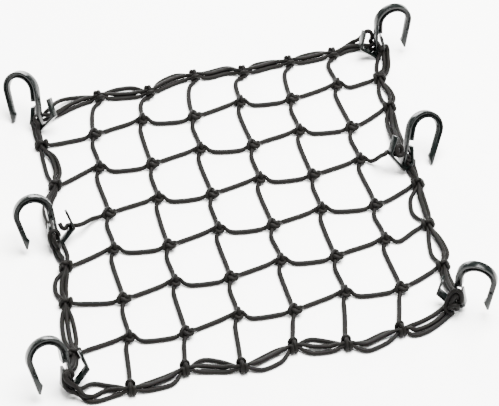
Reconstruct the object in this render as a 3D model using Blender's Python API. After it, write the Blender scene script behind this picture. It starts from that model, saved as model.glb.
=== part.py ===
import bpy
import bmesh
from math import atan2, cos, pi, radians, sin, sqrt
from mathutils import Euler, Matrix, Vector

# Cargo net: round elastic cord knotted into seven by seven meshes, tied to a border of three
# cords, with six moulded hooks clipped over the border. It lies spread on a flat surface at
# z = 0. Sizes below are in millimetres and turned to metres by MM.
MM = 0.001

# The knots lie on a slightly skewed lattice, row 0 at the back and column 0 at the left.
CELLS = 7
NET_CENTRE = Vector((1.1, 3.9))
PITCH_ACROSS = Vector((53.15, 13.75))
PITCH_DOWN = Vector((10.3, -56.45))
TWIST = Vector((0.137, 0.191))
# Knots of odd rank are tied face up and pulled up and left, the even ones face down.
KNOT_STAGGER = Vector((-1.5, 5.2))
# The knots inside the border lie this far from their place in the lattice.
MESH_SHIFT = Vector((1.0, -3.4))

# How far each border knot is pulled off the lattice: (side, place along it) -> (x, y).
BORDER_PULL = {
    "back": {1: (15, -13), 2: (14, -11), 3: (13, -7), 4: (11, -6), 5: (12, -11), 6: (5, -4)},
    "right": {1: (-8, 2), 2: (-7, 4), 4: (-4, 3), 5: (-10, 12), 6: (-6, 2)},
    "front": {1: (-8, -1), 2: (-6, -2), 3: (-8, -3), 4: (-8, -3), 5: (-13, -4), 6: (-9, -11)},
    "left": {1: (0, -17), 2: (5, -10), 4: (3, -4), 5: (-1, -5), 6: (-2, -1)},
}

# Cord: corner radius of the five-sided section, free and squeezed in a knot.
CORD_RADIUS = 2.2
KNOT_CORD_RADIUS = 1.95
SIDES = 5
# The lowest cords are pressed a little flat where they lie.
PRESSED = 0.2
BAR_LEVEL = CORD_RADIUS * cos(pi / SIDES) - PRESSED
KEPT_SHARE = 0.64
BAR_SPANS = 3
BAR_HANDLE = 0.34

# Mesh knot: a bight lies open toward the front right, its two legs are gripped by a turn.
NECK_ANGLE = radians(147)
BIGHT_LEVEL = 4.6
BIGHT_HALF_WIDTH = 2.5
NECK_HALF_WIDTH = 2.15
NECK_REACH = 3.2
BIGHT_REACH = 2.6
LEG_REACH = 8.5
LEG_LEVEL = 3.4
# The two buried ends of the gripping turn: how far out they lie, and how high over and under.
WRAP_REACHES = (2.2, 7.2)
WRAP_OVER_LEVELS = (6.6, 4.6)
WRAP_UNDER_LEVELS = (2.3, 2.1)
TURN_HALF_WIDTH = 4.1
TURN_HALF_HEIGHT = 3.35
TURN_RADIUS = 1.75
TURN_STEPS = 6
TURN_SIDES = 4
TURN_LEAN = 1.3
# Angle of each leg where it leaves a knot: face up, face down.
LEG_ANGLES = {
    "left": (radians(202), radians(198)),
    "up": (radians(114), radians(112)),
    "right": (radians(-22), radians(24)),
    "down": (radians(-92), radians(-100)),
}

# Border: three cords, squeezed together inside the tie of each border knot.
BORDER_CORDS = ("border_outer", "border_middle", "border_inner")
STRAND_RADIUS = 2.15
TIED_STRAND_RADIUS = 1.5
TIED_PLACES = ((1.7, 5.2), (0.0, 8.0), (-1.7, 5.2))
TIED_HALF_LENGTH = 2.8
TIE_RADIUS = 1.5
TIE_HALF_WIDTH = 5.5
TIE_HALF_HEIGHT = 5.3
TIE_STEPS = 8
TIE_ENTRY_LEVEL = 5.2
STRAND_LEVEL = STRAND_RADIUS * cos(pi / SIDES)
STRAND_TOUCH = 4.95
CLIPPED_STRAND_RADIUS = 1.1
SPREAD_SHARES = (0.3, 0.7)
# Next to a hook the cords fan out of their stack: how far each moves outward.
FANNED_SHIFTS = (2.5, -0.6, -2.5)

# Hook, seen face on with its mouth toward +u and its shank along v, and its clip at the foot.
HOOK_WIDTH = 9.0
PLATE = 2.6
SHANK_BACK = -1.8
ARCH_CENTRE = Vector((19.3, 43.4))
# Radii at the shank and at the free leg: the hook grows slimmer toward its tip.
ARCH_OUTER = (21.1, 20.0)
ARCH_INNER = (13.6, 14.2)
ARCH_STEPS = 12
ARCH_PAST = radians(11)
STEP_HEIGHT = 32.0
HEEL = Vector((30.0, 18.5))
BARB = Vector((28.2, 15.4))
TIP = Vector((32.0, 6.1))
TIP_THICKNESS = 1.8
LEG_WIDTH_SHARE = 0.66
TIP_WIDTH_SHARE = 0.5
MOUTH_ARM = (Vector((5.3, 25.4)), Vector((9.2, 7.0)))
NET_ARM = (Vector((-18.3, 15.7)), Vector((-14.4, 35.2)))
GROOVE_INNER = (15.5, 15.8)
GROOVE_OUTER = (18.3, 18.0)
GROOVE_DEPTH = 3.1
GROOVE_FOOT = 34.0
GROOVE_RUN = 14.0

# Where the border cords thread a clip, in the hook's own u and v: outer, middle and inner cord.
SLOT_U = 2.5
SLOT_LEVELS = (10.6, 14.6, 6.6)
SLOT_HALF_LENGTH = 6.6
PASS_DEPTH = 9.6
PASS_NEAR_U = -3.5
PASS_FAR_U = -17.0

# Hooks: place of the foot (x, y), mouth side, lean, turn and back tilt in degrees. Each is set
# down until its lowest corner stands on the floor.
HOOKS = {
    "hook_left_back": ((-213.3, 112.0), -1, 17, 27, 25),
    "hook_left_middle": ((-183.8, -50.7), -1, 2, -19, 20),
    "hook_left_front": ((-160.0, -232.7), -1, -2, -27, 21),
    "hook_right_back": ((151.0, 227.5), 1, 1, 16, 8),
    "hook_right_middle": ((172.1, 52.4), 1, 21, 26, 28),
    "hook_right_front": ((215.8, -130.4), 1, -2, -17, 5),
}

# The border, clockwise from the back left hook. Each row is one stretch, and says where it ends
# and how far its outer, middle and inner cords stand out of the straight line on the way.
BORDER = (
    ("back", 1, 6, -1, -3), ("back", 2, 10, -2, -4), ("back", 3, 8, 5, 2), ("back", 4, 7, 2, -2),
    ("back", 5, 6, 3, 0), ("back", 6, 4, 0, -5), ("hook_right_back", 0, 4, 0, -4),
    ("right", 1, 6, 3, -3), ("right", 2, 5, 3, -5), ("hook_right_middle", 0, -2, -6, -9),
    ("right", 4, 3, 0, -3), ("right", 5, 3, 1, -10), ("right", 6, 10, 7, -4),
    ("hook_right_front", 0, 3, 0, -2), ("front", 6, 15, 11, -1), ("front", 5, 14, 11, 6),
    ("front", 4, 3, 1, -6), ("front", 3, 11, 8, -1), ("front", 2, 2, 0, -9),
    ("front", 1, 13, 10, 0), ("hook_left_front", 0, 11, 8, -7), ("left", 6, 3, 0, -3),
    ("left", 5, 3, -1, -3), ("left", 4, 9, 4, 3), ("hook_left_middle", 0, 3, 0, -3),
    ("left", 2, 11, 3, 0), ("left", 1, 1, -6, -8), ("hook_left_back", 0, 3, 0, -3),
)
# How the border turns at each hook: behind the net arm before or after the slot, or in front.
HOOK_ROUTES = {
    "hook_left_back": ("near", "far", "behind"),
    "hook_right_back": ("behind", "far", "near"),
    "hook_right_middle": ("far", "near"),
    "hook_right_front": ("far", "near", "before"),
    "hook_left_front": ("before", "near", "far"),
    "hook_left_middle": ("near", "far"),
}
# Mesh cords of this row end round the net arm of the middle hooks.
MIDDLE_ROW = 3
ARM_TIE_HEIGHT = 24.0
ARM_TIE_HALF_WIDTH = 4.7
ARM_TIE_HALF_DEPTH = 7.4
ARM_CORD_STANDOFF = 5.2


def clear_scene():
    for thing in list(bpy.data.objects):
        bpy.data.objects.remove(thing, do_unlink=True)


def plastic_or_cord(name, colour, roughness):
    material = bpy.data.materials.new(name)
    material.use_nodes = True
    shader = material.node_tree.nodes["Principled BSDF"]
    shader.inputs["Base Color"].default_value = (*colour, 1.0)
    shader.inputs["Roughness"].default_value = roughness
    shader.inputs["Metallic"].default_value = 0.0
    return material


def add_object(name, bm, material):
    bmesh.ops.recalc_face_normals(bm, faces=bm.faces)
    mesh = bpy.data.meshes.new(name)
    bm.to_mesh(mesh)
    bm.free()
    mesh.materials.append(material)
    mesh.shade_smooth()
    mesh.set_sharp_from_angle(angle=radians(50))
    thing = bpy.data.objects.new(name, mesh)
    bpy.context.scene.collection.objects.link(thing)
    return thing


def lift(flat, height):
    return Vector((flat.x, flat.y, height))


def heading(angle):
    return Vector((cos(angle), sin(angle)))


def left_of(way):
    return Vector((-way.y, way.x))


# Knots

def face_up(row, column):
    return (row + column) % 2 == 1


def lattice_point(row, column):
    across = column - CELLS / 2
    down = row - CELLS / 2
    stagger = KNOT_STAGGER if face_up(row, column) else -KNOT_STAGGER
    return (NET_CENTRE + PITCH_ACROSS * across + PITCH_DOWN * down
            + TWIST * across * down + stagger)


def mesh_knot(row, column):
    return lattice_point(row, column) + MESH_SHIFT


def border_knot(side, place):
    row, column = {"back": (0, place), "front": (CELLS, place),
                   "left": (place, 0), "right": (place, CELLS)}[side]
    return lattice_point(row, column) + Vector(BORDER_PULL[side][place])


def leg_heading(row, column, leg):
    up_angle, down_angle = LEG_ANGLES[leg]
    return heading(up_angle if face_up(row, column) else down_angle)


def sweep_ring(bm, centre, forward, radius, sides):
    side = forward.cross(Vector((0, 0, 1))).normalized()
    top = side.cross(forward).normalized()
    ring = []
    for step in range(sides):
        angle = pi / 2 + 2 * pi * step / sides
        ring.append(bm.verts.new((centre + (side * cos(angle) + top * sin(angle)) * radius) * MM))
    return ring


def join_rings(bm, rings, closed):
    sides = len(rings[0])
    pairs = list(zip(rings, rings[1:]))
    if closed:
        pairs.append((rings[-1], rings[0]))
    for near, far in pairs:
        for step in range(sides):
            after = (step + 1) % sides
            bm.faces.new((near[step], near[after], far[after], far[step]))
    if not closed:
        bm.faces.new(reversed(rings[0]))
        bm.faces.new(rings[-1])


def add_cord(bm, points, radii, closed=False, sides=SIDES):
    # Points are centres in millimetres. Each section stands square to the way past its centre.
    rings = []
    last = len(points) - 1
    for index, centre in enumerate(points):
        before = points[index - 1] if index > 0 or closed else centre
        after = points[(index + 1) % len(points)] if index < last or closed else centre
        forward = (after - before).normalized()
        rings.append(sweep_ring(bm, centre, forward, radii[index], sides))
    join_rings(bm, rings, closed)


def add_turn(bm, centre, across, upward, half_width, half_height, radius, steps, lean):
    # A closed turn of cord: an upright oval whose top leans along `lean` and whose foot leans away.
    rings = []
    for step in range(steps):
        angle = 2 * pi * (step + 0.5) / steps - pi / 2
        out = across * cos(angle) + upward * sin(angle)
        hub = (centre + across * half_width * cos(angle) + upward * half_height * sin(angle)
               + lean * sin(angle))
        along = across.cross(upward)
        ring = []
        for corner in range(TURN_SIDES):
            turn = 2 * pi * (corner + 0.5) / TURN_SIDES
            ring.append(bm.verts.new((hub + (out * cos(turn) + along * sin(turn)) * radius) * MM))
        rings.append(ring)
    join_rings(bm, rings, True)


def bar_points(start, start_heading, end, end_heading):
    # Centres along one bar between two legs, both headings pointing away from their knots.
    reach = (end - start).length * BAR_HANDLE
    first = start + start_heading * reach
    second = end + end_heading * reach
    points = []
    for step in range(1, BAR_SPANS):
        t = step / BAR_SPANS
        flat = (start * (1 - t) ** 3 + first * 3 * t * (1 - t) ** 2
                + second * 3 * t * t * (1 - t) + end * t ** 3)
        points.append(lift(flat, BAR_LEVEL))
    return points


def wrap_end(row, column, leg):
    # The buried end of a leg of the gripping turn: over the bight on the right, under it below.
    centre = mesh_knot(row, column)
    ahead = leg_heading(row, column, leg)
    over = (leg == "right") == face_up(row, column)
    levels = WRAP_OVER_LEVELS if over else WRAP_UNDER_LEVELS
    return [lift(centre + ahead * reach, level) for reach, level in zip(WRAP_REACHES, levels)]


def bight(row, column):
    centre = mesh_knot(row, column)
    neck = heading(NECK_ANGLE)
    side = Vector((-neck.y, neck.x))
    places = (
        (NECK_REACH, NECK_HALF_WIDTH), (-BIGHT_REACH, BIGHT_HALF_WIDTH),
        (-BIGHT_REACH, -BIGHT_HALF_WIDTH), (NECK_REACH, -NECK_HALF_WIDTH),
    )
    points = [lift(centre + neck * along + side * out, BIGHT_LEVEL) for along, out in places]
    left = lift(centre + leg_heading(row, column, "left") * LEG_REACH, LEG_LEVEL)
    up = lift(centre + leg_heading(row, column, "up") * LEG_REACH, LEG_LEVEL)
    return [left] + points + [up]


def tie_entry(side, place, toward):
    # The buried end of a mesh cord in the tie of a border knot, and the way it leaves it.
    spot = border_knot(side, place) - left_of(border_way(side, place)) * TIE_HALF_WIDTH
    return spot, (toward - spot).normalized(), [lift(spot, TIE_ENTRY_LEVEL)]


def arm_spot():
    # The middle of the net arm at the height of the cords tied round it.
    corner, top = NET_ARM
    return corner.lerp(top, (ARM_TIE_HEIGHT - corner.y) / (top.y - corner.y))


def arm_entry(hook, toward):
    spot = arm_spot()
    place = hook_frame(hook) @ Vector((spot.x - ARM_CORD_STANDOFF, spot.y, 0.0))
    flat = place.to_2d()
    return flat, (toward - flat).normalized(), [place]


def far_end(row, column, leg):
    # Buried points, flat start and heading of the far end of the bar that a leg belongs to.
    if leg == "right" and column == 0:
        goal = mesh_knot(row, 1)
        if row == MIDDLE_ROW:
            flat, ahead, points = arm_entry("hook_left_middle", goal)
        else:
            flat, ahead, points = tie_entry("left", row, goal)
        return points, flat, ahead
    if leg == "down" and row == 0:
        flat, ahead, points = tie_entry("back", column, mesh_knot(1, column))
        return points, flat, ahead
    return wrap_end(row, column, leg), mesh_knot(row, column), leg_heading(row, column, leg)


def mesh_strand(bm, row, column):
    # One bar from the left, its bight in this knot, and one bar away to the back.
    start_points, start, start_heading = far_end(row, column - 1, "right")
    end_points, end, end_heading = far_end(row - 1, column, "down")
    here = mesh_knot(row, column)
    left_bar = bar_points(start, start_heading, here, leg_heading(row, column, "left"))
    back_bar = bar_points(here, leg_heading(row, column, "up"), end, end_heading)
    middle = bight(row, column)
    points = start_points + left_bar + middle + back_bar + list(reversed(end_points))
    lead = len(start_points) + len(left_bar) + 1
    tail = len(points) - lead - (len(middle) - 2)
    radii = [CORD_RADIUS] * lead + [KNOT_CORD_RADIUS] * (len(middle) - 2) + [CORD_RADIUS] * tail
    add_cord(bm, points, radii)


def edge_strand(bm, row, column, leg):
    # The last bar of a row or column, from its mesh knot to the border.
    start = mesh_knot(row, column)
    start_heading = leg_heading(row, column, leg)
    if leg == "down":
        end, end_heading, end_points = tie_entry("front", column, start)
    elif row == MIDDLE_ROW:
        end, end_heading, end_points = arm_entry("hook_right_middle", start)
    else:
        end, end_heading, end_points = tie_entry("right", row, start)
    points = (wrap_end(row, column, leg) + bar_points(start, start_heading, end, end_heading)
              + end_points)
    add_cord(bm, points, [CORD_RADIUS] * len(points))


def mesh_turn(bm, row, column):
    centre = mesh_knot(row, column)
    neck = heading(NECK_ANGLE)
    side = Vector((-neck.y, neck.x, 0.0))
    lean = lift(neck, 0.0) * (-TURN_LEAN if face_up(row, column) else TURN_LEAN)
    add_turn(bm, lift(centre + neck * NECK_REACH, BIGHT_LEVEL), side, Vector((0, 0, 1)),
             TURN_HALF_WIDTH, TURN_HALF_HEIGHT, TURN_RADIUS, TURN_STEPS, lean)


# Hooks

def hook_frame(name):
    foot, side, lean, turn, back = HOOKS[name]
    turned = Euler((radians(-back), side * radians(lean), side * radians(turn)), "YXZ")
    frame = turned.to_matrix().to_4x4() @ Matrix(((side, 0, 0, 0), (0, 0, -1, 0),
                                                  (0, 1, 0, 0), (0, 0, 0, 1)))
    corners = []
    for point in hook_outline():
        half = half_width(point)
        corners += [lift(point, -half), lift(point, half)]
    lowest = min((frame @ corner).z for corner in corners)
    return Matrix.Translation((*foot, -lowest)) @ frame


def normal_of(start, end):
    way = (end - start).normalized()
    return Vector((-way.y, way.x))


def offset_path(path, distance):
    # Points of the same path moved to its left, mitred at its corners.
    moved = []
    for index, point in enumerate(path):
        normals = []
        if index > 0:
            normals.append(normal_of(path[index - 1], point))
        if index < len(path) - 1:
            normals.append(normal_of(point, path[index + 1]))
        mean = sum(normals, Vector((0, 0))).normalized()
        moved.append(point + mean * (distance / mean.dot(normals[0])))
    return moved


def meet_upright(start, end, u):
    share = (u - start.x) / (end.x - start.x)
    return start.lerp(end, share)


def arc(radii, start, end, steps):
    points = []
    for step in range(steps + 1):
        angle = start + (end - start) * step / steps
        turned = min(1.0, 1.0 - angle / pi)
        radius = radii[0] + (radii[1] - radii[0]) * turned
        points.append(ARCH_CENTRE + Vector((cos(angle), sin(angle))) * radius)
    return points


def hook_outline():
    clip = [*MOUTH_ARM, Vector((0, 0)), *NET_ARM]
    upper = offset_path(clip, -PLATE / 2)
    lower = offset_path(clip, PLATE / 2)
    shank_front = SHANK_BACK + PLATE
    outline = [upper[0], upper[1], meet_upright(upper[1], upper[2], shank_front)]
    outline += [Vector((shank_front, STEP_HEIGHT)),
                Vector((ARCH_CENTRE.x - ARCH_INNER[0], STEP_HEIGHT))]
    outline += arc(ARCH_INNER, pi, -ARCH_PAST, ARCH_STEPS)
    outline += [HEEL, BARB, TIP, TIP + Vector((TIP_THICKNESS, 0.4))]
    outline += arc(ARCH_OUTER, -ARCH_PAST, pi, ARCH_STEPS)
    outline += [meet_upright(upper[3], upper[2], SHANK_BACK), upper[3], upper[4]]
    outline += list(reversed(lower))
    return outline


def groove_outline():
    foot_outer = Vector((ARCH_CENTRE.x - GROOVE_OUTER[0], GROOVE_FOOT))
    foot_inner = Vector((ARCH_CENTRE.x - GROOVE_INNER[0], GROOVE_FOOT))
    outer = arc(GROOVE_OUTER, pi, 0.0, ARCH_STEPS)
    inner = arc(GROOVE_INNER, 0.0, pi, ARCH_STEPS)
    slant = (HEEL - (ARCH_CENTRE + Vector((ARCH_INNER[1], 0)))).normalized()
    outer_end = outer[-1] + slant * GROOVE_RUN
    inner_end = inner[0] + slant * GROOVE_RUN
    return [foot_outer] + outer + [outer_end, inner_end] + inner + [foot_inner]


def half_width(point):
    reach = point - ARCH_CENTRE
    half = HOOK_WIDTH / 2
    if reach.x < 0 and reach.y < 0:
        return half
    if reach.y >= 0:
        turned = 1.0 - atan2(reach.y, reach.x) / pi
        return half * (1.0 - (1.0 - LEG_WIDTH_SHARE) * turned ** 1.5)
    run = reach.y / (TIP.y - ARCH_CENTRE.y)
    return half * (LEG_WIDTH_SHARE + (TIP_WIDTH_SHARE - LEG_WIDTH_SHARE) * run)


def add_sides(bm, near, far):
    for index in range(len(near)):
        after = (index + 1) % len(near)
        bm.faces.new((near[index], far[index], far[after], near[after]))


def add_prism(bm, outline, low, high):
    near = [bm.verts.new(Vector((p.x, p.y, high)) * MM) for p in outline]
    far = [bm.verts.new(Vector((p.x, p.y, low)) * MM) for p in outline]
    bm.faces.new(near)
    bm.faces.new(list(reversed(far)))
    add_sides(bm, near, far)


def add_hook_body(bm):
    outline = hook_outline()
    near = [bm.verts.new(Vector((p.x, p.y, half_width(p))) * MM) for p in outline]
    far = [bm.verts.new(Vector((p.x, p.y, -half_width(p))) * MM) for p in outline]
    add_sides(bm, near, far)
    inner = 5
    leg = inner + ARCH_STEPS
    outer = leg + 5
    crown = outer + ARCH_STEPS
    for verts in (near, far):
        bm.faces.new(verts[:inner + 1] + verts[crown:])
        bm.faces.new(verts[leg:outer + 1])
        for step in range(ARCH_STEPS):
            bm.faces.new((verts[inner + step], verts[inner + step + 1],
                          verts[crown - step - 1], verts[crown - step]))


def placed(bm, frame):
    scaled = frame.copy()
    scaled.translation = frame.translation * MM
    bmesh.ops.transform(bm, matrix=scaled, verts=bm.verts)


def make_cutter(name, bm):
    bmesh.ops.recalc_face_normals(bm, faces=bm.faces)
    mesh = bpy.data.meshes.new(name)
    bm.to_mesh(mesh)
    bm.free()
    cutter = bpy.data.objects.new(name, mesh)
    bpy.context.scene.collection.objects.link(cutter)
    cutter.hide_render = True
    cutter.display_type = "WIRE"
    return cutter


def floor_block():
    bm = bmesh.new()
    bmesh.ops.create_cube(bm, size=1.0)
    bmesh.ops.translate(bm, verts=bm.verts, vec=(0.0, 0.0, -0.5))
    return make_cutter("floor", bm)


def combine(thing, other, operation):
    step = thing.modifiers.new(operation.lower(), "BOOLEAN")
    step.operation = operation
    step.solver = "EXACT"
    step.object = other


def build_hook(name, material):
    frame = hook_frame(name)
    half = HOOK_WIDTH / 2
    bm = bmesh.new()
    add_hook_body(bm)
    placed(bm, frame)
    hook = add_object(name, bm, material)
    bm = bmesh.new()
    add_prism(bm, groove_outline(), half - GROOVE_DEPTH, half + 1.0)
    add_prism(bm, groove_outline(), -half - 1.0, -half + GROOVE_DEPTH)
    placed(bm, frame)
    combine(hook, make_cutter(name + "_groove", bm), "DIFFERENCE")


# Border

def slot_point(frame, u, depth, strand):
    # Cords cross the clip half way between level and square to its tilted face.
    point = frame @ Vector((u, SLOT_LEVELS[strand], depth))
    middle = frame @ Vector((u, SLOT_LEVELS[strand], 0.0))
    return lift(point, (point.z + middle.z) / 2)


def hook_pass(name, strand):
    frame = hook_frame(name)
    stops = {
        "far": [(SLOT_U, -SLOT_HALF_LENGTH)],
        "near": [(SLOT_U, SLOT_HALF_LENGTH)],
        "behind": [(PASS_NEAR_U, -PASS_DEPTH), (PASS_FAR_U, -PASS_DEPTH)],
        "before": [(PASS_NEAR_U, PASS_DEPTH), (PASS_FAR_U, PASS_DEPTH)],
    }
    route = HOOK_ROUTES[name]
    points = []
    for stop in route:
        turns = stops[stop]
        if stop == route[0]:
            turns = list(reversed(turns))
        points += [slot_point(frame, u, depth, strand) for u, depth in turns]
    return points


def station_points(name, place, strand):
    # Where one border cord passes a hook, or runs through the tie of a border knot.
    if name in HOOKS:
        return hook_pass(name, strand)
    way = border_way(name, place)
    shift, level = TIED_PLACES[strand]
    spot = border_knot(name, place) + left_of(way) * shift
    return [lift(spot + way * along, level) for along in (-TIED_HALF_LENGTH, TIED_HALF_LENGTH)]


def station_centre(station):
    name, place = station[:2]
    if name in HOOKS:
        frame = hook_frame(name)
        return slot_point(frame, SLOT_U, 0.0, 1).to_2d()
    return border_knot(name, place)


def border_way(name, place):
    # The way the border runs past one of its knots or hooks, clockwise.
    stations = [row[:2] for row in BORDER]
    index = stations.index((name, place))
    before = station_centre(stations[index - 1])
    after = station_centre(stations[(index + 1) % len(stations)])
    return (after - before).normalized()


def strand_level(spread, strand):
    # Cords lie on the floor; the middle one rides up where the outer or inner one is close.
    if strand != 1:
        return STRAND_LEVEL
    gap = min(abs(spread[1] - spread[0]), abs(spread[1] - spread[2]))
    return STRAND_LEVEL + sqrt(max(0.0, STRAND_TOUCH ** 2 - gap ** 2))


def border_strand(bm, strand):
    points = []
    radii = []
    past = BORDER[-1][0]
    start = station_points(*BORDER[-1][:2], strand)[-1]
    for name, place, *spread in BORDER:
        here = station_points(name, place, strand)
        out = left_of((here[0] - start).to_2d().normalized())
        for share, neighbour in zip(SPREAD_SHARES, (past, name)):
            straight = start.lerp(here[0], share)
            if neighbour in HOOKS:
                points.append(straight + lift(out, 0.0) * FANNED_SHIFTS[strand])
                radii.append(CLIPPED_STRAND_RADIUS)
            else:
                spot = straight.to_2d() + out * spread[strand]
                points.append(lift(spot, strand_level(spread, strand)))
                radii.append(STRAND_RADIUS)
        points += here
        radii += [CLIPPED_STRAND_RADIUS if name in HOOKS else TIED_STRAND_RADIUS] * len(here)
        start = here[-1]
        past = name
    add_cord(bm, points, radii, closed=True)


def border_tie(bm, name, place):
    out = lift(left_of(border_way(name, place)), 0.0)
    level = TIE_HALF_HEIGHT * cos(pi / TIE_STEPS) + TIE_RADIUS * cos(pi / TURN_SIDES)
    add_turn(bm, lift(border_knot(name, place), level), out, Vector((0, 0, 1)), TIE_HALF_WIDTH,
             TIE_HALF_HEIGHT, TIE_RADIUS, TIE_STEPS, Vector((0, 0, 0)))


def arm_tie(bm, hook):
    frame = hook_frame(hook)
    turned = frame.to_3x3()
    across = turned @ Vector((1, 0, 0))
    deep = turned @ Vector((0, 0, 1))
    add_turn(bm, frame @ lift(arm_spot(), 0.0), across, deep, ARM_TIE_HALF_WIDTH,
             ARM_TIE_HALF_DEPTH, TIE_RADIUS, TIE_STEPS, Vector((0, 0, 0)))


def build_mesh(material):
    groups = [bmesh.new(), bmesh.new(), bmesh.new()]
    inner = range(1, CELLS)
    for row in inner:
        for column in inner:
            mesh_strand(groups[(row + column) % 2], row, column)
            mesh_turn(groups[2], row, column)
    for place in inner:
        edge_strand(groups[(place + CELLS) % 2], place, CELLS - 1, "right")
        edge_strand(groups[(place + CELLS) % 2], CELLS - 1, place, "down")
    for name, place in (row[:2] for row in BORDER):
        if name not in HOOKS:
            border_tie(groups[2], name, place)
    arm_tie(groups[2], "hook_left_middle")
    arm_tie(groups[2], "hook_right_middle")
    net = add_object("net_mesh", groups[0], material)
    combine(net, make_cutter("net_mesh_strands", groups[1]), "UNION")
    combine(net, make_cutter("net_mesh_turns", groups[2]), "UNION")
    thin = net.modifiers.new("thin_out", "DECIMATE")
    thin.ratio = KEPT_SHARE
    combine(net, floor_block(), "DIFFERENCE")


def build_border(material):
    for strand, name in enumerate(BORDER_CORDS):
        bm = bmesh.new()
        border_strand(bm, strand)
        add_object(name, bm, material)


def main():
    clear_scene()
    cord = plastic_or_cord("elastic_cord", (0.035, 0.033, 0.030), 0.7)
    plastic = plastic_or_cord("moulded_plastic", (0.012, 0.016, 0.015), 0.3)
    build_mesh(cord)
    build_border(cord)
    for name in HOOKS:
        build_hook(name, plastic)


main()
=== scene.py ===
import math

import bmesh
import bpy
import numpy as np
from mathutils import Euler, Matrix, Vector
from mathutils.kdtree import KDTree


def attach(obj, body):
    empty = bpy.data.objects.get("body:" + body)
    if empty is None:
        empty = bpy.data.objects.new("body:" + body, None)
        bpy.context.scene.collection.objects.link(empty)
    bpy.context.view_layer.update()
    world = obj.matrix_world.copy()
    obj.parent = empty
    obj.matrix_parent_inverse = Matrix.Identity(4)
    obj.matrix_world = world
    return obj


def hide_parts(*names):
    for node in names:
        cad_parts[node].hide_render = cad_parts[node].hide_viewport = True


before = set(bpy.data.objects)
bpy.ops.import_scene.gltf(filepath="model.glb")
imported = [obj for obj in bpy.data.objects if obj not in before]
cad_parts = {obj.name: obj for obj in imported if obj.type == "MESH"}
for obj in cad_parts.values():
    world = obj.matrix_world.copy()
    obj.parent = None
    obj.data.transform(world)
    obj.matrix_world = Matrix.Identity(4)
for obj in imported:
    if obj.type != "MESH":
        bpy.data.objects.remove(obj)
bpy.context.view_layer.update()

# Elastic cargo net lying on a pale floor. Lengths in this file are millimetres unless noted.
mm = 0.001
print("frame loaded:", len(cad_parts), "nodes")


def newObject(name, data):
    thing = bpy.data.objects.new(name, data)
    bpy.context.scene.collection.objects.link(thing)
    return thing


# Camera and floor

view = {
    "target": (10.7, 9.8, 0.0),   # where the middle of the picture meets the floor
    "elevation": 48.0,
    "distance": 2200.0,
    "focalPixels": 2112.0,
    "pictureWidth": 499.0,
    "middle": (249.5, 203.0),
    "sensor": 36.0,
    "clip": (0.1, 20.0),          # metres
}


def setCamera():
    data = bpy.data.cameras.new("camera")
    data.sensor_width = view["sensor"]
    data.lens = view["focalPixels"] / view["pictureWidth"] * view["sensor"]
    data.clip_start, data.clip_end = view["clip"]
    camera = newObject("camera", data)
    tilt = math.radians(view["elevation"])
    back = Vector((0.0, -math.cos(tilt), math.sin(tilt)))
    camera.location = (Vector(view["target"]) + back * view["distance"]) * mm
    camera.rotation_euler = Euler((math.pi / 2 - tilt, 0.0, 0.0))
    bpy.context.scene.camera = camera


setCamera()
print("camera set")


def seen(x, y, height):
    # the point at this height that the picture shows at pixel (x, y)
    tilt = math.radians(view["elevation"])
    ahead = Vector((0.0, math.cos(tilt), -math.sin(tilt)))
    upward = Vector((0.0, math.sin(tilt), math.cos(tilt)))
    start = Vector(view["target"]) - ahead * view["distance"]
    ray = ahead + Vector((1.0, 0.0, 0.0)) * ((x - view["middle"][0]) / view["focalPixels"])
    ray += upward * ((view["middle"][1] - y) / view["focalPixels"])
    return np.array(start + ray * ((height - start.z) / ray.z))


# Materials

def hexColour(text):
    # sRGB hex to the linear values that shaders take
    channels = [int(text[i:i + 2], 16) / 255 for i in (1, 3, 5)]
    linear = [c / 12.92 if c <= 0.04045 else ((c + 0.055) / 1.055) ** 2.4 for c in channels]
    return (*linear, 1.0)


def addNode(tree, kind, settings=None, links=None):
    # settings: node properties by name or input defaults by index; links: input -> output socket
    node = tree.nodes.new(kind)
    for key, value in (settings or {}).items():
        if isinstance(key, str) and hasattr(node, key):
            setattr(node, key, value)
        else:
            node.inputs[key].default_value = value
    for key, source in (links or {}).items():
        tree.links.new(source, node.inputs[key])
    return node


def newMaterial(name):
    material = bpy.data.materials.new(name)
    material.use_nodes = True
    tree = material.node_tree
    return material, tree, tree.nodes["Principled BSDF"]


sleeve = {
    "colour": "#080707",          # charcoal yarn, a little warm
    "worn": "#12110e",            # the rubbed tops of the ribs
    "yarnsAround": 8,             # waves of a yarn round the sleeve
    "braidPitch": 5.6,            # mm along the cord for two waves of a yarn
    "ribHeight": 0.25,            # mm
    "ribStrength": 0.6,
    "fuzz": 0.9,                  # stray fibres for each mm
    "fuzzShare": 0.35,            # their height as a share of a rib's
    "wear": 0.045,                # rubbed patches for each mm
    "roughness": 0.56,
    "ior": 1.5,
    "specular": 0.05,             # loose fibres swallow most of what a smooth skin would reflect
}


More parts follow.
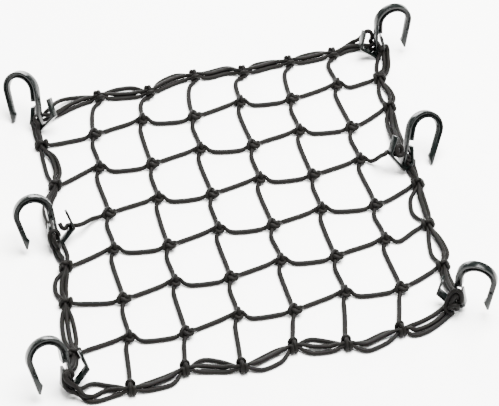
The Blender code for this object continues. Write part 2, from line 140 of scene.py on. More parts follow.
def braidedPolyester():
    # Braided polyester sleeve over rubber: matt and nearly black, with fine diamond ribs that
    # break up the light along its top.
    material, tree, shader = newMaterial("braidedPolyester")
    place = addNode(tree, "ShaderNodeUVMap", {"uv_map": "cordRun"})
    split = addNode(tree, "ShaderNodeSeparateXYZ", links={0: place.outputs[0]})
    around = addNode(tree, "ShaderNodeMath",
                     {"operation": "MULTIPLY", 1: 2 * math.pi * sleeve["yarnsAround"]},
                     {0: split.outputs["X"]})
    along = addNode(tree, "ShaderNodeMath",
                    {"operation": "MULTIPLY", 1: 2 * math.pi * 2 / sleeve["braidPitch"]},
                    {0: split.outputs["Y"]})
    right = addNode(tree, "ShaderNodeMath", {"operation": "ADD"},
                    {0: around.outputs[0], 1: along.outputs[0]})
    left = addNode(tree, "ShaderNodeMath", {"operation": "SUBTRACT"},
                   {0: around.outputs[0], 1: along.outputs[0]})
    waveRight = addNode(tree, "ShaderNodeMath", {"operation": "SINE"}, {0: right.outputs[0]})
    waveLeft = addNode(tree, "ShaderNodeMath", {"operation": "SINE"}, {0: left.outputs[0]})
    ribs = addNode(tree, "ShaderNodeMath", {"operation": "MULTIPLY"},
                   {0: waveRight.outputs[0], 1: waveLeft.outputs[0]})
    height = addNode(tree, "ShaderNodeMapRange", {"From Min": -1.0, "From Max": 1.0},
                     {"Value": ribs.outputs[0]})
    where = addNode(tree, "ShaderNodeTexCoord")
    fuzz = addNode(tree, "ShaderNodeTexNoise", {"Scale": sleeve["fuzz"] / mm, "Detail": 2.0},
                   {"Vector": where.outputs["Object"]})
    wear = addNode(tree, "ShaderNodeTexNoise", {"Scale": sleeve["wear"] / mm, "Detail": 3.0},
                   {"Vector": where.outputs["Object"]})
    both = addNode(tree, "ShaderNodeMath", {"operation": "MULTIPLY_ADD", 1: sleeve["fuzzShare"]},
                   {0: fuzz.outputs[0], 2: height.outputs[0]})
    bump = addNode(tree, "ShaderNodeBump",
                   {"Strength": sleeve["ribStrength"], "Distance": sleeve["ribHeight"] * mm},
                   {"Height": both.outputs[0]})
    tone = addNode(tree, "ShaderNodeMath", {"operation": "MULTIPLY"},
                   {0: wear.outputs[0], 1: height.outputs[0]})
    mix = addNode(tree, "ShaderNodeMix", {"data_type": "RGBA", 6: hexColour(sleeve["colour"]),
                                          7: hexColour(sleeve["worn"])}, {0: tone.outputs[0]})
    tree.links.new(mix.outputs[2], shader.inputs["Base Color"])
    tree.links.new(bump.outputs[0], shader.inputs["Normal"])
    shader.inputs["Roughness"].default_value = sleeve["roughness"]
    shader.inputs["IOR"].default_value = sleeve["ior"]
    shader.inputs["Specular IOR Level"].default_value = sleeve["specular"]
    return material


moulding = {
    "colour": "#060908",          # black with a cold green cast
    "roughness": 0.22,
    "rubbed": (-0.05, 0.12),      # how far polished and rubbed places stray from that roughness
    "rub": 0.13,                  # such places for each mm
    "rubRange": (0.35, 0.7),      # the part of the noise that goes from one to the other
    "grain": 2.2,                 # mm between the faint waves of the moulded skin
    "grainDepth": 0.1,            # mm
    "grainStrength": 0.12,
    "ior": 1.53,
    "specular": 0.13,
}


def mouldedNylon():
    # Injection moulded nylon: smooth and glossy, with a faint orange peel that softens its
    # highlights and rubbed places that dull them.
    material, tree, shader = newMaterial("mouldedNylon")
    where = addNode(tree, "ShaderNodeTexCoord")
    peel = addNode(tree, "ShaderNodeTexNoise",
                   {"Scale": 1 / (moulding["grain"] * mm), "Detail": 2.0},
                   {"Vector": where.outputs["Object"]})
    bump = addNode(tree, "ShaderNodeBump",
                   {"Strength": moulding["grainStrength"],
                    "Distance": moulding["grainDepth"] * mm},
                   {"Height": peel.outputs[0]})
    rub = addNode(tree, "ShaderNodeTexNoise", {"Scale": moulding["rub"] / mm, "Detail": 4.0},
                  {"Vector": where.outputs["Object"]})
    low, high = moulding["rubRange"]
    polished, rubbed = moulding["rubbed"]
    gloss = addNode(tree, "ShaderNodeMapRange", {"From Min": low, "From Max": high,
                                                 "To Min": moulding["roughness"] + polished,
                                                 "To Max": moulding["roughness"] + rubbed},
                    {"Value": rub.outputs[0]})
    tree.links.new(gloss.outputs[0], shader.inputs["Roughness"])
    tree.links.new(bump.outputs[0], shader.inputs["Normal"])
    shader.inputs["Base Color"].default_value = hexColour(moulding["colour"])
    shader.inputs["IOR"].default_value = moulding["ior"]
    shader.inputs["Specular IOR Level"].default_value = moulding["specular"]
    return material


laminate = {
    "colour": "#f4f4f2",
    "roughness": (0.75, 0.85),
    "cloud": 0.006,               # patches for each mm
}


def paleLaminate():
    # Matt white laminate: no visible pattern, only a very faint unevenness in its gloss.
    material, tree, shader = newMaterial("paleLaminate")
    where = addNode(tree, "ShaderNodeTexCoord")
    cloud = addNode(tree, "ShaderNodeTexNoise", {"Scale": laminate["cloud"] / mm, "Detail": 2.0},
                    {"Vector": where.outputs["Object"]})
    gloss = addNode(tree, "ShaderNodeMapRange", {"To Min": laminate["roughness"][0],
                                                 "To Max": laminate["roughness"][1]},
                    {"Value": cloud.outputs[0]})
    tree.links.new(gloss.outputs[0], shader.inputs["Roughness"])
    shader.inputs["Base Color"].default_value = hexColour(laminate["colour"])
    return material


cordMaterial = braidedPolyester()
hookMaterial = mouldedNylon()
floorMaterial = paleLaminate()
print("materials made")


# Floor and light

studio = {
    "floorSize": 12.0,            # metres
    "worldColour": "#ffffff",
    "worldStrength": 0.6,
    "boxes": (                    # place in metres, size in metres, watts
        ((-0.4, 2.3, 0.6), 1.1, 150.0),
        ((0.5, 0.3, 2.6), 1.8, 740.0),
    ),
}


def setStudio():
    bm = bmesh.new()
    bmesh.ops.create_grid(bm, x_segments=1, y_segments=1, size=studio["floorSize"] / 2)
    data = bpy.data.meshes.new("floor")
    bm.to_mesh(data)
    bm.free()
    data.materials.append(floorMaterial)
    floor = newObject("floor", data)
    world = bpy.data.worlds.new("studio")
    world.use_nodes = True
    sky = world.node_tree.nodes["Background"]
    sky.inputs["Color"].default_value = hexColour(studio["worldColour"])
    sky.inputs["Strength"].default_value = studio["worldStrength"]
    bpy.context.scene.world = world
    for index, (place, size, watts) in enumerate(studio["boxes"]):
        data = bpy.data.lights.new("softbox%d" % index, "AREA")
        data.shape = "SQUARE"
        data.size = size
        data.energy = watts
        lamp = newObject("softbox%d" % index, data)
        lamp.location = place
        lamp.rotation_euler = (-Vector(place)).to_track_quat("-Z", "Y").to_euler()


setStudio()
print("studio set")


# Curves and tubes

def heading(degrees):
    return np.array((math.cos(math.radians(degrees)), math.sin(math.radians(degrees)), 0.0))


def unit(vector):
    return vector / np.linalg.norm(vector)


def leftOf(way):
    return np.array((-way[1], way[0], 0.0))


def lengths(points):
    steps = np.linalg.norm(np.diff(points[:, :3], axis=0), axis=1)
    return np.concatenate(([0.0], np.cumsum(steps)))


def evenPoints(points, spacing):
    # the same path with its points a set distance apart
    run = lengths(points)
    count = max(2, int(round(run[-1] / spacing)) + 1)
    at = np.linspace(0.0, run[-1], count)
    return np.column_stack([np.interp(at, run, points[:, axis]) for axis in range(points.shape[1])])


def smoothPath(points, spacing, closed=False):
    # a smooth curve through given points
    points = np.asarray(points, float)
    if closed:
        points = np.vstack((points[-1:], points, points[:2]))
    else:
        points = np.vstack((2 * points[0] - points[1], points, 2 * points[-1] - points[-2]))
    fine = []
    steps = 8                     # between two points
    for a, b, c, d in zip(points, points[1:], points[2:], points[3:]):
        for t in np.linspace(0.0, 1.0, steps, endpoint=False):
            fine.append(0.5 * (2 * b + (c - a) * t + (2 * a - 5 * b + 4 * c - d) * t * t
                               + (3 * b - a - 3 * c + d) * t ** 3))
    fine.append(points[-2])
    return evenPoints(np.array(fine), spacing)


def bezier(start, startWay, end, endWay, spacing, handle):
    reach = np.linalg.norm(end - start) * handle
    a, b = start + startWay * reach, end + endWay * reach
    steps = 40
    t = np.linspace(0.0, 1.0, steps)[:, None]
    path = (start * (1 - t) ** 3 + a * 3 * t * (1 - t) ** 2
            + b * 3 * t * t * (1 - t) + end * t ** 3)
    return evenPoints(path, spacing)


class TubeSet:
    # many round cords gathered into one mesh, with the run along and round each kept as a UV map

    def __init__(self, sides):
        self.sides = sides
        self.verts, self.faces, self.runs = [], [], []
        self.count = 0
        self.total = 0.0

    def add(self, path, radius, closed=False):
        radii = np.broadcast_to(radius, len(path))
        if closed:
            ways = np.roll(path, -1, axis=0) - np.roll(path, 1, axis=0)
        else:
            ways = np.gradient(path, axis=0)
        ways /= np.linalg.norm(ways, axis=1)[:, None]
        steep = abs(ways[0][2]) >= 0.9
        side = unit(np.cross(ways[0], (1.0, 0.0, 0.0) if steep else (0.0, 0.0, 1.0)))
        sides = [side]
        for way in ways[1:]:
            side = unit(side - way * np.dot(side, way))
            sides.append(side)
        sides = np.array(sides)
        tops = np.cross(sides, ways)
        twist = np.zeros(len(path))
        if closed:
            last = unit(sides[-1] - ways[0] * np.dot(sides[-1], ways[0]))
            slip = math.atan2(np.dot(last, tops[0]), np.dot(last, sides[0]))
            twist = -slip * np.arange(len(path)) / len(path)
        angles = np.arange(self.sides) * 2 * math.pi / self.sides
        turn = angles[None, :] + twist[:, None]
        ring = (np.cos(turn)[..., None] * sides[:, None, :]
                + np.sin(turn)[..., None] * tops[:, None, :])
        verts = path[:, None, :] + ring * radii[:, None, None]
        self.verts.append(verts.reshape(-1, 3) * mm)
        run = lengths(np.vstack((path, path[:1])) if closed else path)
        self.total += run[-1]
        rings = len(path)
        spans = rings if closed else rings - 1
        for i in range(spans):
            here = self.count + i * self.sides
            there = self.count + ((i + 1) % rings) * self.sides
            for j in range(self.sides):
                k = (j + 1) % self.sides
                self.faces.append((here + j, here + k, there + k, there + j))
                low, high = j / self.sides, (j + 1) / self.sides
                self.runs.append(((low, run[i]), (high, run[i]),
                                  (high, run[i + 1]), (low, run[i + 1])))
        if not closed:
            # the two cut ends
            for start, order in ((self.count, -1), (self.count + (rings - 1) * self.sides, 1)):
                self.faces.append(tuple(range(start, start + self.sides))[::order])
                self.runs.append([(0.0, 0.0)] * self.sides)
        self.count += rings * self.sides

    def build(self, name, material):
        data = bpy.data.meshes.new(name)
        data.from_pydata(np.vstack(self.verts).tolist(), [], self.faces)
        layer = data.uv_layers.new(name="cordRun")
        values = [value for run in self.runs for corner in run for value in corner]
        layer.data.foreach_set("uv", values)
        data.materials.append(material)
        data.shade_smooth()
        return newObject(name, data)


# Where the knots lie: row 0 at the back, column 0 at the left

net = {
    "cells": 7,
    "centre": (1.1, 3.9),
    "pitchAcross": (53.15, 13.75),
    "pitchDown": (10.3, -56.45),
    "twist": (0.137, 0.191),      # for each cell across and down
    "stagger": (-1.5, 5.2),       # odd knots are pulled up and left, even ones down and right
    "meshShift": (1.0, -3.4),
    "borderPull": {               # how far each tie is drawn from the lattice
        "back": {1: (15, -13), 2: (14, -8), 3: (13, -7), 4: (11, -3), 5: (12, -11), 6: (5, -1)},
        "right": {1: (-8, 2), 2: (-7, 4), 4: (-4, 3), 5: (-10, 12), 6: (-6, 2)},
        "front": {1: (-8, -1), 2: (-6, -2), 3: (-8, -3), 4: (-8, -3), 5: (-13, -4), 6: (-9, -11)},
        "left": {1: (0, -17), 2: (5, -7), 4: (3, -4), 5: (-1, -5), 6: (-2, -1)},
    },
    "cordRadius": 2.55,
    "knotRadius": 1.68,           # the cord while a knot is pulled tight
    "squeezedRadius": 2.1,        # the cord where a knot grips it
    "spacing": 1.6,
    "sides": 12,
    "middleRow": 3,               # its cord ends in the clips of the middle hooks
    "stiffness": 0.24,            # share of its length for which a bar keeps the way it leaves
    "fall": 2.4,                  # the higher, the sooner a bar sinks to the floor
    "high": 7.0,                  # a bar with an end as high as this sinks more evenly
    "highFall": 1.05,
    "jointReach": 3,              # points either side of a joint that are rounded off
    "jointEase": 0.5,
    "jointRounds": 10,
}


def faceUp(row, column):
    return (row + column) % 2 == 1


def flat(pair):
    return np.array((pair[0], pair[1], 0.0))


def latticePoint(row, column):
    across = column - net["cells"] / 2
    down = row - net["cells"] / 2
    stagger = flat(net["stagger"]) * (1 if faceUp(row, column) else -1)
    return (flat(net["centre"]) + flat(net["pitchAcross"]) * across + flat(net["pitchDown"]) * down
            + flat(net["twist"]) * across * down + stagger)


def meshKnot(row, column):
    return latticePoint(row, column) + flat(net["meshShift"])


def borderKnot(side, place):
    row, column = {"back": (0, place), "front": (net["cells"], place),
                   "left": (place, 0), "right": (place, net["cells"])}[side]
    return latticePoint(row, column) + flat(net["borderPull"][side][place])


# Knots are drawn loosely and then pulled tight: cords shorten, push each other apart and rest
# on the floor

pulling = {
    "neighbours": 2.9,            # radii along a cord within which it can't touch itself
    "push": 0.5,
    "fixedPush": 2.0,             # stronger against cords that don't give way
    "pullUntil": 0.8,             # share of the rounds
    "restPull": 0.03,             # pull in the rounds that are left
    "evenOut": 20,                # rounds between spacing the points evenly
}


def pushApart(curves, radii, skip):
    points = np.vstack(curves)
    owner = np.concatenate([np.full(len(c), i) for i, c in enumerate(curves)])
    order = np.concatenate([np.arange(len(c)) for c in curves])
    size = np.concatenate([np.full(len(c), r) for c, r in zip(curves, radii)])
    gap = points[:, None] - points[None]
    far = np.linalg.norm(gap, axis=2)
    touch = size[:, None] + size[None]
    same = (owner[:, None] == owner[None]) & (np.abs(order[:, None] - order[None]) < skip)
    deep = np.where(same | (far > touch), 0.0, touch - far)
    push = (gap / np.maximum(far, 1e-6)[..., None] * deep[..., None]).sum(axis=1)
    hits = np.maximum((deep > 0).sum(axis=1), 1)[:, None]
    return push / hits * pulling["push"], owner


def pullTight(free, fixed, radius, fixedRadius, spacing, rounds, pull, lowest=None):
    curves = [smoothPath(c, spacing) for c in free]
    still = [evenPoints(np.asarray(c, float), spacing) for c in fixed]
    radii = [radius] * len(curves) + [fixedRadius] * len(still)
    skip = int(round(pulling["neighbours"] * radius / spacing))
    give = pulling["fixedPush"] if still else 1.0
    for turn in range(rounds):
        strength = pull if turn < rounds * pulling["pullUntil"] else pulling["restPull"]
        for c in curves:
            c[1:-1] += ((c[:-2] + c[2:]) / 2 - c[1:-1]) * strength
        push, owner = pushApart(curves + still, radii, skip)
        for i, c in enumerate(curves):
            c[1:-1] += push[owner == i][1:-1] * give
            if lowest is not None:
                c[:, 2] = np.maximum(c[:, 2], lowest)
        if (turn + 1) % pulling["evenOut"] == 0:
            curves = [evenPoints(c, spacing) for c in curves]
    return curves


# Mesh knots: a bight gripped by a turn

knot = {
    "neckAngle": 147.0,           # the bight's legs leave toward the back left
    "reach": 9.5,                 # how far out each leg is followed
    "legs": {                     # where each leg leaves, then heads, in degrees: face up, down
        "left": ((190, 210), (194, 193)),
        "up": ((100, 106), (106, 105)),
        "right": ((-16, -17), (41, 27)),
        "down": ((-108, -84), (-106, -88)),
    },
    "bight": ((-2.2, 3.6, 0), (-3.5, 0, 0), (-2.8, -3.2, 0), (0, -4.8, 0), (2.8, -3.2, 0),
              (3.5, 0, 0), (2.2, 3.6, 0)),
    "turn": ((-4.4, -3.8, -2.8), (-1.6, -2.4, -1), (-1, -1.4, 2.4), (0.6, 0.9, 5.6),
             (3.6, 2.9, 3.6), (5.8, 4.2, 0.2), (3.2, 5.2, -3.2), (0, 5.4, -4), (-3.2, 5.2, -3.2),
             (-5.8, 3.6, 0), (-4, 2, 3.4), (-0.6, 0.4, 1.9), (2.6, -1.6, 3.2),
             (4.4, -2.8, 2.6)),
    "legDrop": 3.0,               # the legs set out this far below the knot's middle
    "legLevel": 2.6,              # how high the legs end above the floor
    "spacing": 0.9,
    "pull": 0.22,
    "rounds": 240,
    "jitter": 5.0,                # degrees that each leg may stray
    "lump": 6.5,                  # radius of the lump, which is set on its place in the lattice
}


def tieKnot(row, column, rng):
    # the bight runs from the up leg to the left leg, the turn from the right leg to the down leg
    up = faceUp(row, column)
    legs, ways = {}, {}
    for leg, angles in knot["legs"].items():
        place, bearing = angles[0 if up else 1]
        place += rng.uniform(-1, 1) * knot["jitter"]
        ways[leg] = heading(bearing + rng.uniform(-1, 1) * knot["jitter"])
        legs[leg] = heading(place - knot["neckAngle"] + 90) * knot["reach"]
        legs[leg] -= (0, 0, knot["legDrop"])
    bight = np.vstack((legs["left"], knot["bight"], legs["up"]))
    turn = np.array(knot["turn"])
    if up:
        turn = np.vstack((legs["down"], turn, legs["right"]))
    else:
        turn = np.vstack((legs["right"], turn * (-1, 1, -1), legs["down"]))
    bight, turn = pullTight([bight, turn], [], net["knotRadius"], 0.0,
                            knot["spacing"], knot["rounds"], knot["pull"])
    if up:
        turn = turn[::-1]
    across, neck = heading(knot["neckAngle"] - 90), heading(knot["neckAngle"])
    placed = [c[:, :1] * across + c[:, 1:2] * neck + c[:, 2:] * (0, 0, 1)
              for c in (bight, turn)]
    near = np.vstack(placed)
    near = near[np.linalg.norm(near[:, :2], axis=1) < knot["lump"]]
    middle = (near.min(axis=0) + near.max(axis=0)) / 2 * (1, 1, 0)
    lift = net["squeezedRadius"] - near[:, 2].min()
    for c in placed:
        far = np.clip(np.linalg.norm(c[:, :2], axis=1) / knot["reach"], 0, 1)[:, None]
        c -= middle * (1 - far ** 2)
        c[:, 2:] = (c[:, 2:] + lift) * (1 - far ** 3) + knot["legLevel"] * far ** 3
        c += meshKnot(row, column)
    return placed[0][::-1], placed[1], ways


print("pulling mesh knots tight")
rng = np.random.default_rng(7)
knots = {(row, column): tieKnot(row, column, rng)
         for row in range(1, net["cells"]) for column in range(1, net["cells"])}
print("mesh knots made:", len(knots))


# Hooks: seen face on with the mouth toward +u and the shank along v, the clip at the foot

hook = {
    "width": 9.0,
    "plate": 2.6,                 # thickness of the clip and of the shank's foot
    "shankBack": -1.8,
    "archCentre": (19.3, 43.4),
    "archOuter": (21.1, 20.0),    # radii at the shank and at the free leg
    "archInner": (13.6, 14.2),
    "archPast": 11.0,             # degrees that it goes on below level at the free leg
    "archSteps": 40,
    "stepHeight": 32.0,
    "heel": (30.0, 18.5),
    "barb": (28.2, 15.4),
    "tip": (32.0, 6.1),
    "tipThickness": 1.8,
    "tipRise": 0.4,
    "legWidthShare": 0.66,        # the hook narrows from its crown to its tip
    "tipWidthShare": 0.5,
    "narrowing": 1.5,
    "mouthArm": ((5.3, 25.4), (9.2, 7.0)),
    "netArm": ((-18.3, 15.7), (-14.4, 35.2)),
    "grooveInner": (15.5, 15.8),
    "grooveOuter": (18.3, 18.0),
    "grooveDepth": 3.1,
    "grooveFoot": 34.0,
    "grooveRun": 14.0,
    "cutMargin": 1.0,             # how far the groove's cutter stands out of the hook
    "bevel": 0.5,
    "bevelSegments": 3,
    "bevelAngle": 28,             # edges sharper than this are rounded
    "sharpAngle": 40,             # edges still sharper than this stay crisp
    "places": {                   # foot, mouth side, then lean, turn and back tilt in degrees
        "hook_left_back": ((-213.3, 112.0), -1, 17, 27, 25),
        "hook_left_middle": ((-183.8, -50.7), -1, 2, -19, 20),
        "hook_left_front": ((-160.0, -232.7), -1, -2, -27, 21),
        "hook_right_back": ((151.0, 227.5), 1, 1, 16, 8),
        "hook_right_middle": ((172.1, 52.4), 1, 21, 26, 28),
        "hook_right_front": ((215.8, -130.4), 1, -2, -17, 5),
    },
}


def normalOf(start, end):
    way = (end - start).normalized()
    return Vector((-way.y, way.x))


def offsetPath(path, distance):
    # the same path moved to its left, mitred at its corners
    moved = []
    for index, point in enumerate(path):
        normals = []
        if index > 0:
            normals.append(normalOf(path[index - 1], point))
        if index < len(path) - 1:
            normals.append(normalOf(point, path[index + 1]))
        mean = sum(normals, Vector((0, 0))).normalized()
        moved.append(point + mean * (distance / mean.dot(normals[0])))
    return moved


def arcPoints(radii, start, end):
    steps = hook["archSteps"]
    centre = Vector(hook["archCentre"])
    points = []
    for i in range(steps + 1):
        angle = start + (end - start) * i / steps
        radius = radii[0] + (radii[1] - radii[0]) * min(1.0, 1.0 - angle / 180)
        points.append(centre + Vector(heading(angle)[:2]) * radius)
    return points


def meetUpright(start, end, u):
    return start.lerp(end, (u - start.x) / (end.x - start.x))


def hookOutline():
    clip = [Vector(p) for p in (*hook["mouthArm"], (0, 0), *hook["netArm"])]
    upper = offsetPath(clip, -hook["plate"] / 2)
    lower = offsetPath(clip, hook["plate"] / 2)
    front = hook["shankBack"] + hook["plate"]
    centre = Vector(hook["archCentre"])
    tip = Vector(hook["tip"])
    outline = [upper[0], upper[1], meetUpright(upper[1], upper[2], front),
               Vector((front, hook["stepHeight"])),
               Vector((centre.x - hook["archInner"][0], hook["stepHeight"]))]
    outline += arcPoints(hook["archInner"], 180, -hook["archPast"])
    outline += [Vector(hook["heel"]), Vector(hook["barb"]), tip,
                tip + Vector((hook["tipThickness"], hook["tipRise"]))]
    outline += arcPoints(hook["archOuter"], -hook["archPast"], 180)
    outline += [meetUpright(upper[3], upper[2], hook["shankBack"]), upper[3], upper[4]]
    return outline + lower[::-1]


def grooveOutline():
    centre = Vector(hook["archCentre"])
    outer = arcPoints(hook["grooveOuter"], 180, 0)
    inner = arcPoints(hook["grooveInner"], 0, 180)
    legTop = centre + Vector((hook["archInner"][1], 0))
    slant = (Vector(hook["heel"]) - legTop).normalized() * hook["grooveRun"]
    foot = hook["grooveFoot"]
    return ([Vector((centre.x - hook["grooveOuter"][0], foot))] + outer
            + [outer[-1] + slant, inner[0] + slant] + inner
            + [Vector((centre.x - hook["grooveInner"][0], foot))])


def halfWidth(point):
    # full width up the shank, then less round the crown and down to the tip
    reach = point - Vector(hook["archCentre"])
    half, leg, tip = hook["width"] / 2, hook["legWidthShare"], hook["tipWidthShare"]
    if reach.x < 0 and reach.y < 0:
        return half
    if reach.y >= 0:
        share = 1 - math.atan2(reach.y, reach.x) / math.pi
        return half * (1 - (1 - leg) * share ** hook["narrowing"])
    return half * (leg + (tip - leg) * reach.y / (hook["tip"][1] - hook["archCentre"][1]))


def hookFrame(name):
    foot, side, lean, turn, back = hook["places"][name]
    lean, turn, back = math.radians(lean), math.radians(turn), math.radians(back)
    leaning = Euler((-back, side * lean, side * turn), "YXZ").to_matrix().to_4x4()
    standing = Matrix(((side, 0, 0, 0), (0, 0, -1, 0), (0, 1, 0, 0), (0, 0, 0, 1)))
    pose = leaning @ standing
    lowest = min((pose @ Vector((p.x, p.y, w * halfWidth(p)))).z
                 for p in hookOutline() for w in (-1, 1))
    return Matrix.Translation((*foot, -lowest)) @ pose


hookFrames = {name: hookFrame(name) for name in hook["places"]}


def addSides(bm, near, far):
    for i in range(len(near)):
        j = (i + 1) % len(near)
        bm.faces.new((near[i], far[i], far[j], near[j]))


def addPrism(bm, outline, low, high):
    near = [bm.verts.new((p.x, p.y, high)) for p in outline]
    far = [bm.verts.new((p.x, p.y, low)) for p in outline]
    bm.faces.new(near)
    bm.faces.new(far[::-1])
    addSides(bm, near, far)


def addHookBody(bm):
    outline = hookOutline()
    near = [bm.verts.new((p.x, p.y, halfWidth(p))) for p in outline]
    far = [bm.verts.new((p.x, p.y, -halfWidth(p))) for p in outline]
    addSides(bm, near, far)
    # where the inner and the outer arch begin and end in the outline
    inner = 5
    leg = inner + hook["archSteps"]
    outer = leg + 5
    crown = outer + hook["archSteps"]
    for verts in (near, far):
        bm.faces.new(verts[:inner + 1] + verts[crown:])
        bm.faces.new(verts[leg:outer + 1])
        for i in range(hook["archSteps"]):
            bm.faces.new((verts[inner + i], verts[inner + i + 1],
                          verts[crown - i - 1], verts[crown - i]))


def meshObject(name, bm, pose):
    bmesh.ops.transform(bm, matrix=Matrix.Scale(mm, 4) @ pose, verts=bm.verts)
    bmesh.ops.recalc_face_normals(bm, faces=bm.faces)
    data = bpy.data.meshes.new(name)
    bm.to_mesh(data)
    bm.free()
    return newObject(name, data)


def makeHook(name):
    half, depth, margin = hook["width"] / 2, hook["grooveDepth"], hook["cutMargin"]
    bm = bmesh.new()
    addHookBody(bm)
    piece = meshObject(name + "_moulding", bm, hookFrames[name])
    bm = bmesh.new()
    addPrism(bm, grooveOutline(), half - depth, half + margin)
    addPrism(bm, grooveOutline(), -half - margin, -half + depth)
    cutter = meshObject("groove", bm, hookFrames[name])
    cut = piece.modifiers.new("groove", "BOOLEAN")
    cut.object = cutter
    soft = piece.modifiers.new("softEdges", "BEVEL")
    soft.width = hook["bevel"] * mm
    soft.segments = hook["bevelSegments"]
    soft.limit_method = "ANGLE"
    soft.angle_limit = math.radians(hook["bevelAngle"])
    soft.harden_normals = True
    bpy.context.view_layer.update()
    graph = bpy.context.evaluated_depsgraph_get()
    data = bpy.data.meshes.new_from_object(piece.evaluated_get(graph))
    piece.modifiers.clear()
    piece.data = data
    bpy.data.objects.remove(cutter, do_unlink=True)
    data.materials.append(hookMaterial)
    data.shade_smooth()
    data.set_sharp_from_angle(angle=math.radians(hook["sharpAngle"]))
    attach(piece, "root")
    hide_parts(name)
    return piece


hookPieces = [makeHook(name) for name in hook["places"]]
print("hooks made:", len(hookPieces))


# Border: three cords round the net, through the clips of the hooks and the ties of the mesh

